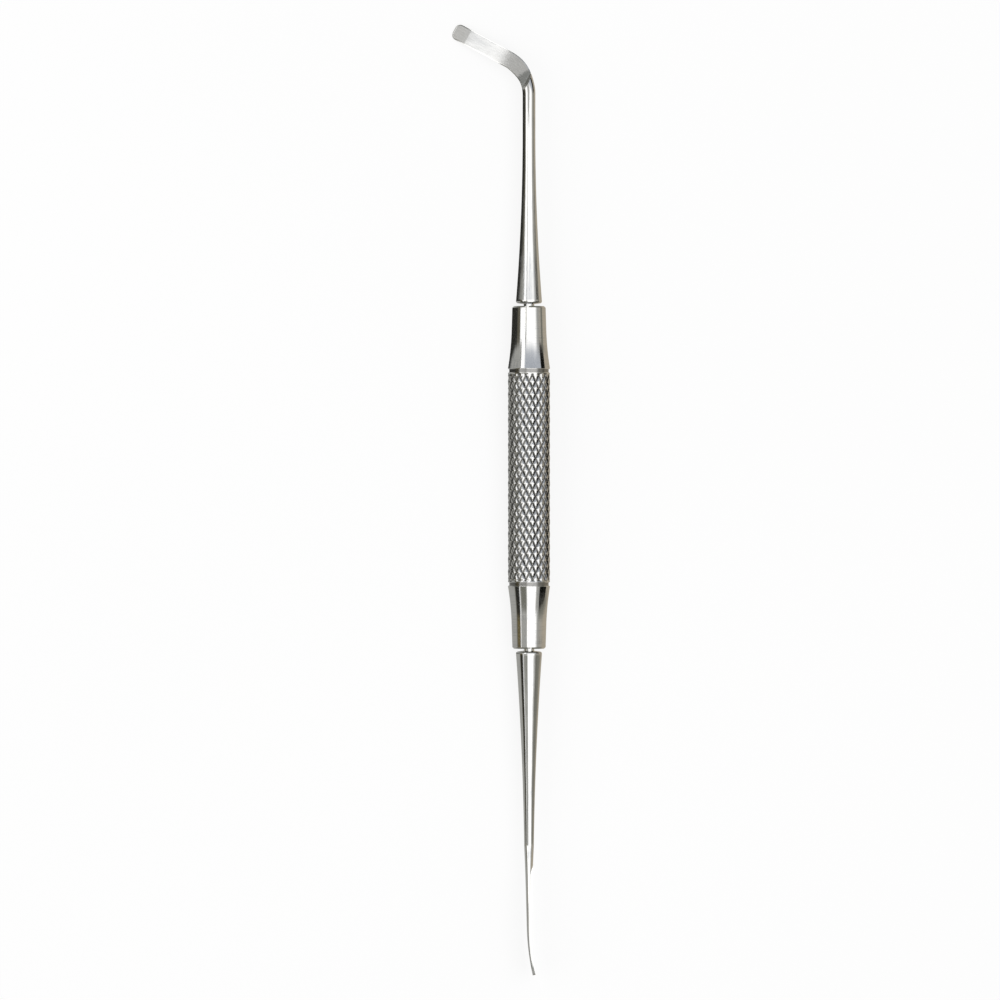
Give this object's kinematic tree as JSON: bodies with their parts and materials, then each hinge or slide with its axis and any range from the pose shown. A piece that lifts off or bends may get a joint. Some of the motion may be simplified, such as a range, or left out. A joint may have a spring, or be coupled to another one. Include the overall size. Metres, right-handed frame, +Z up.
{
  "type": "periosteal elevator",
  "caption": "Slim steel surgical elevator: a round grip with tapered cones, a small angled blade at the head end and a long thin leaf-shaped blade at the other end.",
  "frame": {"origin": "on the axis of the handle, in the middle of the grip", "axes": "+Y along the handle towards the angled end, +Z up from the surface the instrument lies on, +X to the right seen from above"},
  "size_m": [0.0182, 0.181, 0.008],
  "materials": {
    "handle_steel": "mirror-polished stainless steel with a diamond-knurled grip",
    "end_steel": "mirror-polished stainless steel, the blades ground to a satin finish"
  },
  "bodies": {
    "root": {"handle": "handle_steel", "angled_end": "end_steel", "long_end": "end_steel"}
  },
  "joints": []
}
